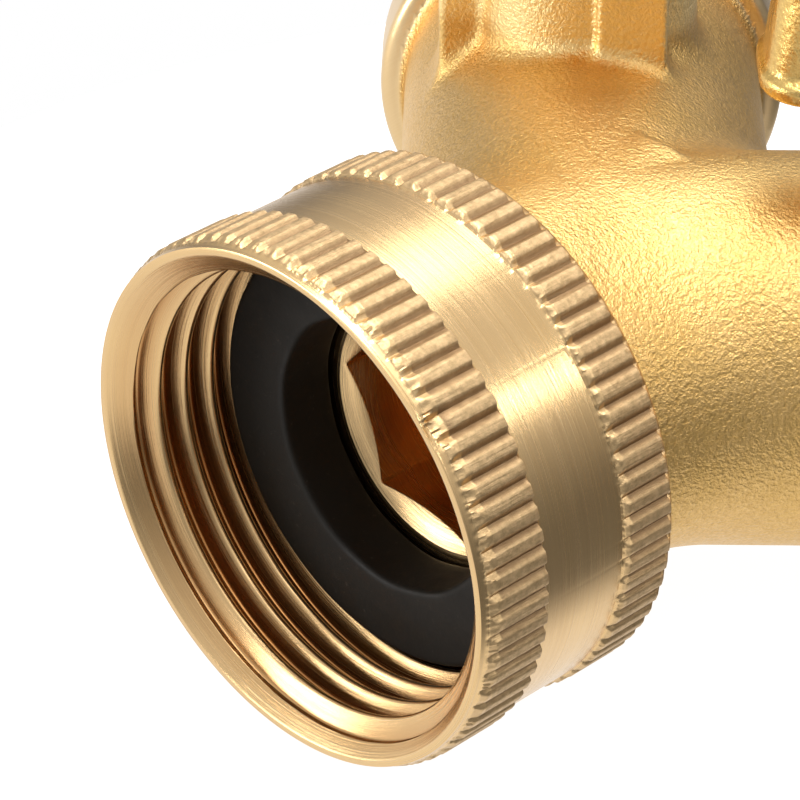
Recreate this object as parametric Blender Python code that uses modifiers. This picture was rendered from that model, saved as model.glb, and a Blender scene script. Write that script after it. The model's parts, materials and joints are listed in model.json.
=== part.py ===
"""Two-way brass hose splitter: a forged Y body with a knurled swivel nut on its inlet and a quarter-turn ball
valve in each arm. It lies flat, valve stems up. Metres, +Z up, origin under the middle of its bounding box.

Three axes meet at the junction: the inlet runs along -Y, and the arms at 45 degrees to +Y. Each turned piece
is a profile of (radius, station) points. A station is the distance from the junction along its own axis.
"""

import math

import bmesh
import bpy
from mathutils import Matrix, Vector

MM = 0.001
GAP = 0.3 * MM

# Driving dimensions
ARM_ANGLE = math.radians(45)
ARM_R = 10.55 * MM
COLLAR_R = 12.0 * MM
COLLAR_START = 28.7 * MM
ARM_END = 33.4 * MM
ARM_FLOW_R = 4.4 * MM
INLET_FLOW_R = 5.3 * MM

NUT_R = 14.55 * MM
NUT_FRONT = 22.2 * MM
NUT_LENGTH = 13.35 * MM
NUT_RIM_R = 13.8 * MM
NUT_CHAMFER = 1.0 * MM
KNURL_WIDTH = 3.3 * MM
BAND_R = 14.25 * MM

# G 3/4 thread in the nut, G 1/2 on the outlets
THREAD_PITCH = 1.814 * MM
FEMALE_CREST_R = 12.15 * MM
FEMALE_ROOT_R = 13.25 * MM
FEMALE_LEAD = 0.55 * MM
FEMALE_TURNS = 4
MALE_CREST_R = 10.48 * MM
MALE_ROOT_R = 9.3 * MM
MALE_LEAD = 0.75 * MM
MALE_TURNS = 5

WASHER_DEPTH = 6.85 * MM
WASHER_THICKNESS = 3.45 * MM
WASHER_HOLE_R = 7.6 * MM

HEX_FLATS = 11.8 * MM
HEX_DEPTH = 5.5 * MM
HEX_CHAMFER_R = 7.1 * MM
HEX_TURN = math.radians(21)

# Inlet tailpiece: stations count from the junction towards the nut's mouth
FLANGE_R = 11.85 * MM
FLANGE_THICKNESS = 1.5 * MM
TAILPIECE_NECK_R = 8.6 * MM
TAILPIECE_R = 7.95 * MM
TAILPIECE_BORE_R = 5.5 * MM
SHOULDER_STATION = 1.0 * MM
TAILPIECE_END = SHOULDER_STATION + 1.7 * MM
TAILPIECE_SEAL_R = 6.85 * MM
TAILPIECE_CORD_R = 0.55 * MM
RELIEF_START = 1.25 * MM
RELIEF_DEPTH = 0.5 * MM

# Ball valve
VALVE_STATION = 19.4 * MM
BALL_R = 6.75 * MM
BALL_BORE_R = 4.2 * MM
CAVITY_R = 8.6 * MM
CAVITY_START = 11.3 * MM
COLLAR_BORE_R = 9.8 * MM
COLLAR_BORE_START = 28.2 * MM
SEAT_FACE_R = 5.9 * MM
OUTER_SEAT_BACK = 25.7 * MM

# Outlet adapter
ADAPTER_NOSE_R = 7.75 * MM
ADAPTER_NOSE_END = 26.0 * MM
ADAPTER_SPIGOT_START = 30.2 * MM
ADAPTER_FLANGE_R = 11.3 * MM
ADAPTER_FLANGE_THICKNESS = 1.3 * MM
ADAPTER_CORD_R = 0.7 * MM
ADAPTER_END = 45.1 * MM
ADAPTER_END_R = 9.1 * MM

# Valve neck and stem: heights count from the arm's axis
NECK_R = 6.1 * MM
NECK_TOP = 16.2 * MM
STEM_R = 3.55 * MM
STEM_BORE_R = STEM_R + GAP
STEM_FLANGE_R = 4.15 * MM
STEM_SEAT_TOP = 9.6 * MM
STEM_FLANGE_TOP = 8.6 * MM
STEM_FLANGE_BOTTOM = 7.35 * MM
STEM_SHOULDER_TOP = 16.35 * MM
STEM_HEAD_TOP = 20.2 * MM
SQUARE_HALF = 2.0 * MM
TANG_BOTTOM = 5.25 * MM
TANG_HALF = 0.85 * MM
O_RING_CORD_R = 0.5 * MM
O_RING_HEIGHTS = {"lower": 11.5 * MM, "upper": 14.1 * MM}

# Handle, its stops and its screw
HANDLE_BOTTOM = 16.6 * MM
HANDLE_TOP = 24.2 * MM
HANDLE_HALF_LENGTH = 11.2 * MM
HANDLE_HALF_WIDTH = 3.95 * MM
HANDLE_CORNER_R = 2.7 * MM
HANDLE_LIP_TOP = HANDLE_BOTTOM + 1.0 * MM
HUB_R = 6.2 * MM
HUB_TOP_R = 5.3 * MM
OUTER_STOP_REACH = 8.35 * MM
OUTER_STOP_HALF = 1.7 * MM
INNER_STOP_REACH = 6.9 * MM
INNER_STOP_NEAR = 0.35 * MM
INNER_STOP_FAR = 4.2 * MM
SKIRT_PLAY = math.radians(1.5)
SKIRT_BOTTOM = 13.65 * MM
SKIRT_INNER_R = 6.5 * MM
SKIRT_OUTER_R = 8.0 * MM
SCREW_R = 1.25 * MM
SCREW_HEAD_R = 2.45 * MM
SCREW_HEAD_HEIGHT = 1.45 * MM
SCREW_WEB_TOP = 22.3 * MM
SPRING_WASHER_THICKNESS = 0.6 * MM

COARSE = 14
MEDIUM = 20
FINE = 28
LARGE = 40

NUT_BACK = NUT_FRONT - NUT_LENGTH
WASHER_BACK = NUT_FRONT - WASHER_DEPTH - WASHER_THICKNESS
FLANGE_FRONT = WASHER_BACK - 0.25 * MM
FLANGE_BACK = FLANGE_FRONT - FLANGE_THICKNESS
NUT_HOLE_R = TAILPIECE_NECK_R + GAP

JUNCTION_HEIGHT = NUT_R
ARM_REACH_Y = ADAPTER_END * math.cos(ARM_ANGLE) + ADAPTER_END_R * math.sin(ARM_ANGLE)
MIDDLE_Y = (ARM_REACH_Y - NUT_FRONT) / 2

COLOURS = {
    "cast_brass": ((0.72, 0.49, 0.2), 0.42, 1.0),
    "turned_brass": ((0.76, 0.56, 0.31), 0.3, 1.0),
    "handle_metal": ((0.8, 0.52, 0.15), 0.28, 1.0),
    "rubber": ((0.02, 0.021, 0.022), 0.6, 0.0),
    "ptfe": ((0.86, 0.86, 0.84), 0.5, 0.0),
    "steel": ((0.6, 0.6, 0.6), 0.3, 1.0),
}


def clear_scene():
    for obj in list(bpy.data.objects):
        bpy.data.objects.remove(obj, do_unlink=True)


def new_collection(name):
    collection = bpy.data.collections.new(name)
    bpy.context.scene.collection.children.link(collection)
    return collection


def principled(name):
    colour, roughness, metallic = COLOURS[name]
    material = bpy.data.materials.new(name)
    material.use_nodes = True
    shader = material.node_tree.nodes["Principled BSDF"]
    shader.inputs["Base Color"].default_value = (*colour, 1.0)
    shader.inputs["Roughness"].default_value = roughness
    shader.inputs["Metallic"].default_value = metallic
    return material


def new_object(name, mesh, parent, collection, material=None):
    obj = bpy.data.objects.new(name, mesh)
    collection.objects.link(obj)
    obj.parent = parent
    if material:
        mesh.materials.append(material)
    return obj


def from_bmesh(bm, name, parent, collection, material=None, sharp=30):
    bmesh.ops.recalc_face_normals(bm, faces=bm.faces)
    mesh = bpy.data.meshes.new(name)
    bm.to_mesh(mesh)
    bm.free()
    mesh.shade_smooth()
    mesh.set_sharp_from_angle(angle=math.radians(sharp))
    return new_object(name, mesh, parent, collection, material)


def turned(name, profile, parent, collection, material, segments):
    """A solid of revolution about the parent's Z. The profile runs down its outer side and, on a ring, back
    up its bore. A profile that starts and ends on the axis is a full solid."""
    count = len(profile)
    ring = all(radius > 0 for radius, _ in profile)
    edges = [(i, i + 1) for i in range(count - 1)] + ([(count - 1, 0)] if ring else [])
    mesh = bpy.data.meshes.new(name)
    mesh.from_pydata([(radius, 0, station) for radius, station in profile], edges, [])
    obj = new_object(name, mesh, parent, collection, material)
    screw = obj.modifiers.new("Turn", "SCREW")
    screw.axis = "Z"
    screw.angle = 2 * math.pi
    screw.steps = segments
    screw.render_steps = segments
    screw.use_merge_vertices = True
    screw.merge_threshold = 1e-5
    screw.use_smooth_shade = True
    return obj


def rod(name, parent, collection, radius, low, high, segments, material=None, top_radius=None):
    """A cylinder or cone about the parent's Z, from one station to another."""
    bm = bmesh.new()
    place = Matrix.Translation((0, 0, (low + high) / 2))
    bmesh.ops.create_cone(
        bm,
        cap_ends=True,
        segments=segments,
        radius1=radius,
        radius2=radius if top_radius is None else top_radius,
        depth=high - low,
        matrix=place,
    )
    return from_bmesh(bm, name, parent, collection, material)


def block(name, parent, collection, low, high, material=None):
    """A box between two opposite corners, in the parent's frame."""
    low, high = Vector(low), Vector(high)
    bm = bmesh.new()
    bmesh.ops.create_cube(bm, size=1)
    bmesh.ops.scale(bm, vec=high - low, verts=bm.verts)
    bmesh.ops.translate(bm, vec=(low + high) / 2, verts=bm.verts)
    return from_bmesh(bm, name, parent, collection, material)


def ball_mesh(name, parent, collection, radius, segments, material=None):
    bm = bmesh.new()
    bmesh.ops.create_uvsphere(bm, u_segments=segments, v_segments=segments // 2, radius=radius)
    return from_bmesh(bm, name, parent, collection, material)


def torus(name, parent, collection, centre_r, cord_r, station, material, segments=MEDIUM, sides=6):
    """An O-ring: a small circle turned about the parent's Z."""
    turns = [-2 * math.pi * i / sides for i in range(sides)]
    profile = [(centre_r + cord_r * math.cos(a), station + cord_r * math.sin(a)) for a in turns]
    return turned(name, profile, parent, collection, material, segments)


def as_helper(obj):
    obj.hide_render = True
    obj.display_type = "WIRE"
    return obj


def combine(target, other, operation):
    modifier = target.modifiers.new(other.name, "BOOLEAN")
    modifier.operation = operation
    modifier.solver = "EXACT"
    modifier.object = as_helper(other)


def join(target, *others):
    for other in others:
        combine(target, other, "UNION")


def cut(target, *others):
    for other in others:
        combine(target, other, "DIFFERENCE")


def empty(name, parent, matrix):
    obj = bpy.data.objects.new(name, None)
    bpy.context.scene.collection.objects.link(obj)
    obj.empty_display_size = 0.01
    obj.parent = parent
    obj.matrix_local = matrix
    return obj


def along(direction):
    """A frame at the junction whose Z runs along the given direction and whose Y is the object's up."""
    z_axis = Vector(direction).normalized()
    y_axis = Vector((0, 0, 1))
    x_axis = y_axis.cross(z_axis)
    return Matrix((x_axis, y_axis, z_axis)).transposed().to_4x4()


def thread_ribs(crest, root, first, count, step):
    """A V thread as parallel rings: alternate root and crest points from one end of the thread."""
    points = []
    for turn in range(count):
        points.append((root, first + step * turn))
        points.append((crest, first + step * (turn + 0.5)))
    points.append((root, first + step * count))
    return points


def rounded_outline(half_length, half_width, corner_r, arc_steps=4):
    """A rectangle with round corners, counterclockwise."""
    points = []
    for corner, (sx, sy) in enumerate(((1, 1), (-1, 1), (-1, -1), (1, -1))):
        centre = Vector((sx * (half_length - corner_r), sy * (half_width - corner_r)))
        for step in range(arc_steps + 1):
            angle = math.pi / 2 * (corner + step / arc_steps)
            points.append(centre + corner_r * Vector((math.cos(angle), math.sin(angle))))
    return points


def tapered_bar(name, parent, collection, levels):
    """Rounded rectangles stacked on each other: each level is (height, inset from the full outline)."""
    bm = bmesh.new()

    def outline(height, inset):
        flat = rounded_outline(
            HANDLE_HALF_LENGTH - inset, HANDLE_HALF_WIDTH - inset, HANDLE_CORNER_R - inset / 2
        )
        return [Vector((x, y, height)) for x, y in flat]

    top = bm.faces.new([bm.verts.new(point) for point in outline(*levels[0])])
    first = top.copy(verts=True)
    first.normal_flip()
    for height, inset in levels[1:]:
        grown = bmesh.ops.extrude_discrete_faces(bm, faces=[top])["faces"][0]
        for vert, point in zip(grown.verts, outline(height, inset)):
            vert.co = point
        top = grown
    bmesh.ops.remove_doubles(bm, verts=bm.verts, dist=1e-7)
    return from_bmesh(bm, name, parent, collection)


def ring_sector(name, parent, collection, inner_r, outer_r, low, high, start, sweep, steps=8):
    """A block bent round the parent's Z, from a start angle through a sweep."""
    bm = bmesh.new()
    corners = ((inner_r, low), (outer_r, low), (outer_r, high), (inner_r, high))
    spin = Matrix.Rotation(start, 4, "Z")
    face = bm.faces.new([bm.verts.new(spin @ Vector((radius, 0, z))) for radius, z in corners])
    bmesh.ops.spin(
        bm, geom=[face], cent=(0, 0, 0), axis=(0, 0, 1), angle=sweep, steps=steps, use_duplicate=False
    )
    return from_bmesh(bm, name, parent, collection)


def hexagon_cutter(name, parent, collection, mouth, depth):
    """A hexagon socket with a conical lead-in, sunk from a mouth station towards the junction."""
    corner_r = HEX_FLATS / 2 / math.cos(math.pi / 6)
    socket = rod(name, parent, collection, corner_r, mouth - depth, mouth + GAP, 6)
    socket.rotation_euler.z = HEX_TURN
    lead = rod(
        name + "_lead",
        parent,
        collection,
        HEX_FLATS / 2 - GAP,
        mouth - (HEX_CHAMFER_R - HEX_FLATS / 2 + GAP),
        mouth + GAP,
        FINE,
        top_radius=HEX_CHAMFER_R + GAP,
    )
    return socket, lead


def make_body(inlet, arms, stems):
    """The forged Y: three round limbs, then valve necks and stop lugs, then the bores."""
    body = rod("body", inlet, parts, ARM_R, 0, NUT_BACK - 2 * GAP, LARGE, materials["cast_brass"])
    for side, arm in arms.items():
        join(body, rod(side + "_limb", arm, cutters, ARM_R, 0, COLLAR_START + GAP, LARGE))
        join(body, rod(side + "_collar", arm, cutters, COLLAR_R, COLLAR_START, ARM_END, LARGE))
    for side, stem in stems.items():
        outer = 1 if side == "left" else -1
        join(body, rod(side + "_neck", stem, cutters, NECK_R, ARM_R / 2, NECK_TOP, FINE))
        near, far = sorted((outer * NECK_R * 0.8, outer * OUTER_STOP_REACH))
        low, high = (-OUTER_STOP_HALF, near, ARM_R * 0.4), (OUTER_STOP_HALF, far, NECK_TOP)
        join(body, block(side + "_outer_stop", stem, cutters, low, high))
        near, far = sorted((-outer * INNER_STOP_NEAR, -outer * INNER_STOP_FAR))
        low, high = (-INNER_STOP_REACH, near, ARM_R * 0.6), (-NECK_R * 0.6, far, NECK_TOP)
        join(body, block(side + "_inner_stop", stem, cutters, low, high))
    cut(
        body,
        rod("inlet_thread_bore", inlet, cutters, TAILPIECE_R + GAP, SHOULDER_STATION, NUT_FRONT, LARGE),
        rod("inlet_flow_bore", inlet, cutters, INLET_FLOW_R, -INLET_FLOW_R * 0.5, NUT_FRONT, FINE),
    )
    for side, arm in arms.items():
        cut(
            body,
            rod(side + "_flow_bore", arm, cutters, ARM_FLOW_R, -GAP, CAVITY_START + GAP, FINE),
            rod(side + "_ball_cavity", arm, cutters, CAVITY_R, CAVITY_START, ARM_END, LARGE),
            rod(side + "_collar_bore", arm, cutters, COLLAR_BORE_R, COLLAR_BORE_START, ARM_END + GAP, LARGE),
        )
    for side, stem in stems.items():
        cut(
            body,
            rod(side + "_stem_seat", stem, cutters, STEM_FLANGE_R + GAP, 0, STEM_SEAT_TOP, MEDIUM),
            rod(side + "_stem_bore", stem, cutters, STEM_BORE_R, 0, NECK_TOP + GAP, MEDIUM),
        )
    return body


def make_nut(inlet):
    """The swivel nut: knurled bands with a smooth one between, a threaded socket and a lip at the back."""
    groove = NUT_R - BAND_R
    thread_end = NUT_FRONT - FEMALE_LEAD - FEMALE_TURNS * THREAD_PITCH
    knurl_start = NUT_FRONT - NUT_CHAMFER
    outside = [
        (NUT_R - groove, NUT_FRONT),
        (NUT_R, knurl_start),
        (NUT_R, knurl_start - KNURL_WIDTH),
        (BAND_R, knurl_start - KNURL_WIDTH - groove),
        (BAND_R, NUT_BACK + KNURL_WIDTH + groove),
        (NUT_R, NUT_BACK + KNURL_WIDTH),
        (NUT_R, NUT_BACK + groove),
        (NUT_R - groove, NUT_BACK),
    ]
    thread = thread_ribs(FEMALE_CREST_R, FEMALE_ROOT_R, thread_end, FEMALE_TURNS, THREAD_PITCH)
    inside = [
        (NUT_HOLE_R, NUT_BACK),
        (NUT_HOLE_R, FLANGE_BACK - GAP),
        (FEMALE_ROOT_R, FLANGE_BACK - GAP),
        *thread,
        (NUT_RIM_R, NUT_FRONT),
    ]
    return turned("swivel_nut", outside + inside, inlet, parts, materials["turned_brass"], LARGE)


def make_washer(inlet):
    outer_r = FEMALE_CREST_R - GAP
    front = NUT_FRONT - WASHER_DEPTH
    profile = [(outer_r, front), (outer_r, WASHER_BACK), (WASHER_HOLE_R, WASHER_BACK), (WASHER_HOLE_R, front)]
    return turned("inlet_washer", profile, inlet, parts, materials["rubber"], LARGE)


def make_tailpiece(inlet):
    """Holds the nut by its flange, and screws into the body with a hexagon key."""
    relief_r = TAILPIECE_R - RELIEF_DEPTH
    step = NUT_BACK - RELIEF_START
    profile = [
        (0, FLANGE_FRONT),
        (FLANGE_R, FLANGE_FRONT),
        (FLANGE_R, FLANGE_BACK),
        (TAILPIECE_NECK_R, FLANGE_BACK),
        (TAILPIECE_NECK_R, NUT_BACK - GAP),
        (TAILPIECE_R, NUT_BACK - GAP),
        (TAILPIECE_R, step),
        (relief_r, step - RELIEF_DEPTH),
        (relief_r, step - 2 * RELIEF_DEPTH),
        (TAILPIECE_R, step - 3 * RELIEF_DEPTH),
        (TAILPIECE_R, TAILPIECE_END),
        (0, TAILPIECE_END),
    ]
    tailpiece = turned("inlet_tailpiece", profile, inlet, parts, materials["turned_brass"], LARGE)
    bore = rod("tailpiece_bore", inlet, cutters, TAILPIECE_BORE_R, 0, FLANGE_FRONT - HEX_DEPTH + GAP, FINE)
    socket = hexagon_cutter("tailpiece_hex", inlet, cutters, FLANGE_FRONT, HEX_DEPTH)
    cut(tailpiece, bore, *socket)
    return tailpiece


def make_adapter(side, arm):
    """A turned outlet: a nose behind the outer seat, a spigot in the collar, a flange and a male thread."""
    spigot_r = COLLAR_BORE_R - GAP
    shoulder = ARM_END + GAP
    flange_end = shoulder + ADAPTER_FLANGE_THICKNESS
    thread = thread_ribs(MALE_CREST_R, MALE_ROOT_R, ADAPTER_END - MALE_LEAD, MALE_TURNS, -THREAD_PITCH)
    profile = [
        (0, ADAPTER_END),
        (ADAPTER_END_R, ADAPTER_END),
        *thread,
        (MALE_ROOT_R, flange_end),
        (ADAPTER_FLANGE_R, flange_end),
        (ADAPTER_FLANGE_R, shoulder),
        (spigot_r, shoulder),
        (spigot_r, ADAPTER_SPIGOT_START),
        (ADAPTER_NOSE_R, ADAPTER_SPIGOT_START),
        (ADAPTER_NOSE_R, ADAPTER_NOSE_END),
        (0, ADAPTER_NOSE_END),
    ]
    adapter = turned(side + "_outlet_adapter", profile, arm, parts, materials["turned_brass"], FINE)
    bore_start = ADAPTER_NOSE_END - GAP
    bore_end = ADAPTER_END - HEX_DEPTH + GAP
    bore = rod(side + "_adapter_bore", arm, cutters, TAILPIECE_BORE_R, bore_start, bore_end, MEDIUM)
    cut(adapter, bore, *hexagon_cutter(side + "_adapter_hex", arm, cutters, ADAPTER_END, HEX_DEPTH))
    centre_r = (ADAPTER_NOSE_R + COLLAR_BORE_R) / 2
    station = (COLLAR_BORE_START + ADAPTER_SPIGOT_START) / 2
    torus(side + "_adapter_o_ring", arm, parts, centre_r, ADAPTER_CORD_R, station, materials["rubber"])
    return adapter


def make_seats(side, arm):
    """Two PTFE rings whose conical mouths follow the ball at a small distance."""
    seat_r = CAVITY_R - GAP
    bore_r = BALL_BORE_R + GAP
    near = math.sqrt((BALL_R + GAP) ** 2 - SEAT_FACE_R**2)
    far = math.sqrt((BALL_R + GAP) ** 2 - bore_r**2)
    inner_back = CAVITY_START + GAP
    inner = [
        (SEAT_FACE_R, VALVE_STATION - near - GAP),
        (seat_r, VALVE_STATION - near - GAP),
        (seat_r, inner_back),
        (bore_r, inner_back),
        (bore_r, VALVE_STATION - far - GAP),
    ]
    outer = [
        (bore_r, OUTER_SEAT_BACK),
        (seat_r, OUTER_SEAT_BACK),
        (seat_r, VALVE_STATION + near + GAP),
        (SEAT_FACE_R, VALVE_STATION + near + GAP),
        (bore_r, VALVE_STATION + far + GAP),
    ]
    for place, profile in (("inner", inner), ("outer", outer)):
        turned(f"{side}_{place}_seat", profile, arm, parts, materials["ptfe"], MEDIUM)


def make_ball(side, stem):
    """A ball bored through along the arm, with a slot across its top for the stem's tang."""
    ball = ball_mesh(side + "_ball", stem, parts, BALL_R, MEDIUM, materials["turned_brass"])
    bore = rod(side + "_ball_bore", stem, cutters, BALL_BORE_R, -BALL_R * 1.2, BALL_R * 1.2, MEDIUM)
    bore.rotation_euler = (0, math.pi / 2, 0)
    slot_half = TANG_HALF + GAP
    slot_floor = TANG_BOTTOM - GAP
    low, high = (-slot_half, -BALL_R, slot_floor), (slot_half, BALL_R, BALL_R * 1.2)
    slot = block(side + "_ball_slot", stem, cutters, low, high)
    cut(ball, bore, slot)
    return ball


def make_stem(side, stem):
    """The valve stem: tang, flange, shaft with two O-ring grooves, and a square head tapped for the screw."""
    groove_floor = STEM_R - 2 * O_RING_CORD_R - GAP
    groove_half = O_RING_CORD_R + GAP
    profile = [(0, STEM_SHOULDER_TOP), (STEM_R, STEM_SHOULDER_TOP)]
    for place in ("upper", "lower"):
        height = O_RING_HEIGHTS[place]
        profile += [
            (STEM_R, height + groove_half),
            (groove_floor, height + groove_half),
            (groove_floor, height - groove_half),
            (STEM_R, height - groove_half),
        ]
    profile += [
        (STEM_R, STEM_FLANGE_TOP),
        (STEM_FLANGE_R - GAP, STEM_FLANGE_TOP),
        (STEM_FLANGE_R - GAP, STEM_FLANGE_BOTTOM),
        (0, STEM_FLANGE_BOTTOM),
    ]
    brass = materials["turned_brass"]
    piece = turned(side + "_stem", profile, stem, parts, brass, MEDIUM)
    tang_reach = STEM_FLANGE_R - 2 * GAP
    tang = block(
        side + "_tang",
        stem,
        cutters,
        (-TANG_HALF, -tang_reach, TANG_BOTTOM),
        (TANG_HALF, tang_reach, STEM_FLANGE_BOTTOM + GAP),
    )
    head = block(
        side + "_stem_head",
        stem,
        cutters,
        (-SQUARE_HALF, -SQUARE_HALF, STEM_SHOULDER_TOP - GAP),
        (SQUARE_HALF, SQUARE_HALF, STEM_HEAD_TOP),
    )
    join(piece, tang, head)
    tapped_r = SCREW_R + GAP
    cut(piece, rod(side + "_tapped_hole", stem, cutters, tapped_r, NECK_TOP, STEM_HEAD_TOP + GAP, COARSE))
    centre_r = STEM_R - O_RING_CORD_R
    for place, height in O_RING_HEIGHTS.items():
        name = f"{side}_stem_o_ring_{place}"
        torus(name, stem, parts, centre_r, O_RING_CORD_R, height, materials["rubber"], COARSE, 6)
    low, high = STEM_FLANGE_TOP + GAP, STEM_SEAT_TOP - GAP
    washer_r = STEM_FLANGE_R - GAP / 2
    bore_r = STEM_R + GAP
    ring = [(washer_r, high), (washer_r, low), (bore_r, low), (bore_r, high)]
    turned(side + "_thrust_washer", ring, stem, parts, materials["ptfe"], MEDIUM)
    return piece


def make_handle(side, stem):
    """A butterfly handle cast in one with its hub and a skirt whose ends meet the stop lugs."""
    outer = 1 if side == "left" else -1
    lip = 0.2 * MM
    levels = (
        (HANDLE_BOTTOM, 0),
        (HANDLE_LIP_TOP, 0),
        (HANDLE_LIP_TOP + lip, lip),
        (HANDLE_TOP - 5 * lip, 4 * lip),
        (HANDLE_TOP - 2 * lip, 6 * lip),
        (HANDLE_TOP, 9 * lip),
    )
    handle = tapered_bar(side + "_handle", stem, parts, levels)
    handle.data.materials.append(materials["handle_metal"])
    hub_low, hub_high = HANDLE_BOTTOM + GAP, HANDLE_TOP + GAP
    hub = rod(side + "_hub", stem, cutters, HUB_R, hub_low, hub_high, FINE, top_radius=HUB_TOP_R)
    flange = rod(side + "_hub_flange", stem, cutters, SKIRT_OUTER_R, HANDLE_BOTTOM, HANDLE_LIP_TOP, FINE)
    start, sweep = skirt_span(outer)
    skirt_top = HANDLE_LIP_TOP - GAP
    skirt = ring_sector(
        side + "_skirt", stem, cutters, SKIRT_INNER_R, SKIRT_OUTER_R, SKIRT_BOTTOM, skirt_top, start, sweep
    )
    join(handle, hub, flange, skirt)
    socket_half = SQUARE_HALF + GAP
    socket_top = STEM_HEAD_TOP + GAP
    socket = block(
        side + "_handle_socket",
        stem,
        cutters,
        (-socket_half, -socket_half, SKIRT_BOTTOM),
        (socket_half, socket_half, socket_top),
    )
    hole_r = SCREW_R + GAP
    recess_r = SCREW_HEAD_R + 2 * GAP
    screw_hole = rod(side + "_screw_hole", stem, cutters, hole_r, socket_top - GAP, HANDLE_TOP, COARSE)
    recess = rod(side + "_head_recess", stem, cutters, recess_r, SCREW_WEB_TOP, HANDLE_TOP + 2 * GAP, MEDIUM)
    cut(handle, socket, screw_hole, recess)
    return handle


def skirt_span(outer):
    """Start angle and sweep of the handle's skirt at rest. It fills the turn that the two stop lugs leave,
    less a quarter turn of travel. The right valve is the mirror image of the left."""
    after_inner_stop = math.pi + math.asin(INNER_STOP_FAR / SKIRT_INNER_R)
    before_outer_stop = 2.5 * math.pi - math.asin(OUTER_STOP_HALF / SKIRT_INNER_R)
    sweep = before_outer_stop - after_inner_stop - math.pi / 2 - 2 * SKIRT_PLAY
    start = after_inner_stop + SKIRT_PLAY
    return (start, sweep) if outer > 0 else (-start - sweep, sweep)


def make_handle_screw(side, stem):
    """A pan-head screw on a split spring washer."""
    washer_low = SCREW_WEB_TOP + GAP
    washer_high = washer_low + SPRING_WASHER_THICKNESS
    head_low = washer_high + GAP
    head_high = head_low + SCREW_HEAD_HEIGHT
    shank_end = NECK_TOP + 3 * GAP
    driver_reach = SCREW_HEAD_R * 0.6
    driver_half = 0.35 * MM
    driver_floor = head_high - SCREW_HEAD_HEIGHT / 2
    profile = [
        (0, head_high),
        (driver_reach, head_high),
        (SCREW_HEAD_R, head_high - 2 * GAP),
        (SCREW_HEAD_R, head_low),
        (SCREW_R, head_low),
        (SCREW_R, shank_end),
        (0, shank_end),
    ]
    screw = turned(side + "_handle_screw", profile, stem, parts, materials["steel"], COARSE)
    for turn, (reach_x, reach_y) in enumerate(((driver_reach, driver_half), (driver_half, driver_reach))):
        low, high = (-reach_x, -reach_y, driver_floor), (reach_x, reach_y, head_high + GAP)
        cut(screw, block(f"{side}_driver_slot_{turn}", stem, cutters, low, high))
    split = math.radians(12)
    ring_sector(
        side + "_spring_washer",
        stem,
        parts,
        SCREW_R + GAP,
        SCREW_HEAD_R - GAP,
        washer_low,
        washer_high,
        split / 2,
        2 * math.pi - split,
        COARSE,
    ).data.materials.append(materials["steel"])
    return screw


clear_scene()
parts = new_collection("hose_splitter")
cutters = new_collection("hose_splitter_cutters")
materials = {name: principled(name) for name in COLOURS}

splitter_frame = empty("splitter_frame", None, Matrix.Translation((0, -MIDDLE_Y, JUNCTION_HEIGHT)))
inlet_axis = empty("inlet_axis", splitter_frame, along((0, -1, 0)))
arm_axes, stem_axes = {}, {}
for arm_side, sign in (("left", -1), ("right", 1)):
    heading = Vector((sign * math.sin(ARM_ANGLE), math.cos(ARM_ANGLE), 0))
    arm_axes[arm_side] = empty(arm_side + "_arm_axis", splitter_frame, along(heading))
    turn = Matrix.Rotation(math.atan2(heading.y, heading.x), 4, "Z")
    stem_place = Matrix.Translation(heading * VALVE_STATION) @ turn
    stem_axes[arm_side] = empty(arm_side + "_stem_axis", splitter_frame, stem_place)

make_body(inlet_axis, arm_axes, stem_axes)
make_nut(inlet_axis)
make_washer(inlet_axis)
make_tailpiece(inlet_axis)
seal_station = (SHOULDER_STATION + TAILPIECE_END) / 2
rubber = materials["rubber"]
torus("tailpiece_o_ring", inlet_axis, parts, TAILPIECE_SEAL_R, TAILPIECE_CORD_R, seal_station, rubber)
for arm_side in ("left", "right"):
    make_adapter(arm_side, arm_axes[arm_side])
    make_seats(arm_side, arm_axes[arm_side])
    make_ball(arm_side, stem_axes[arm_side])
    make_stem(arm_side, stem_axes[arm_side])
    make_handle(arm_side, stem_axes[arm_side])
    make_handle_screw(arm_side, stem_axes[arm_side])
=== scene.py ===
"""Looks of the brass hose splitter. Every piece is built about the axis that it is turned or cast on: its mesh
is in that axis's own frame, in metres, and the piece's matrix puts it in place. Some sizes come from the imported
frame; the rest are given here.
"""

import json
import math

import bmesh
import bpy
import numpy as np
from mathutils import Matrix, Vector


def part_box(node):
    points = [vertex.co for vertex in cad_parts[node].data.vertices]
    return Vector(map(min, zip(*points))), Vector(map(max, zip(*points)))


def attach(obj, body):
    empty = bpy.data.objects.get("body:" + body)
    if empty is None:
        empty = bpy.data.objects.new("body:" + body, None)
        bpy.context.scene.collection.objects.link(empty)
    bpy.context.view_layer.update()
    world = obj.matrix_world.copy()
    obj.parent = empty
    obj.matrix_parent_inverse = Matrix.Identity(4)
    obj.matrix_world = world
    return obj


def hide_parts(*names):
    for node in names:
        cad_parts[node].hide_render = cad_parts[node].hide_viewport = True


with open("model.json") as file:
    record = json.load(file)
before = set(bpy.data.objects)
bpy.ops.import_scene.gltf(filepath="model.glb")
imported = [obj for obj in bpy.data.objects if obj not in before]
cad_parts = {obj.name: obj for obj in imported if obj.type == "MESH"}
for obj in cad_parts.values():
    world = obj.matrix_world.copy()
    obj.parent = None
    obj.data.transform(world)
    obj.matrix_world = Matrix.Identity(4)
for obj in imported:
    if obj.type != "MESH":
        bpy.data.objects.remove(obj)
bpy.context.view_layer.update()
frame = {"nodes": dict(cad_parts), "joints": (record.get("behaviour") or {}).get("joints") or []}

MM = 0.001
TURN = 2 * math.pi
SIDES = ("left", "right")
OUTWARD = {"left": 1, "right": -1}


# ---------------------------------------------------------------- axes from the frame, and sizes: some read from it, the rest given


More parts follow.
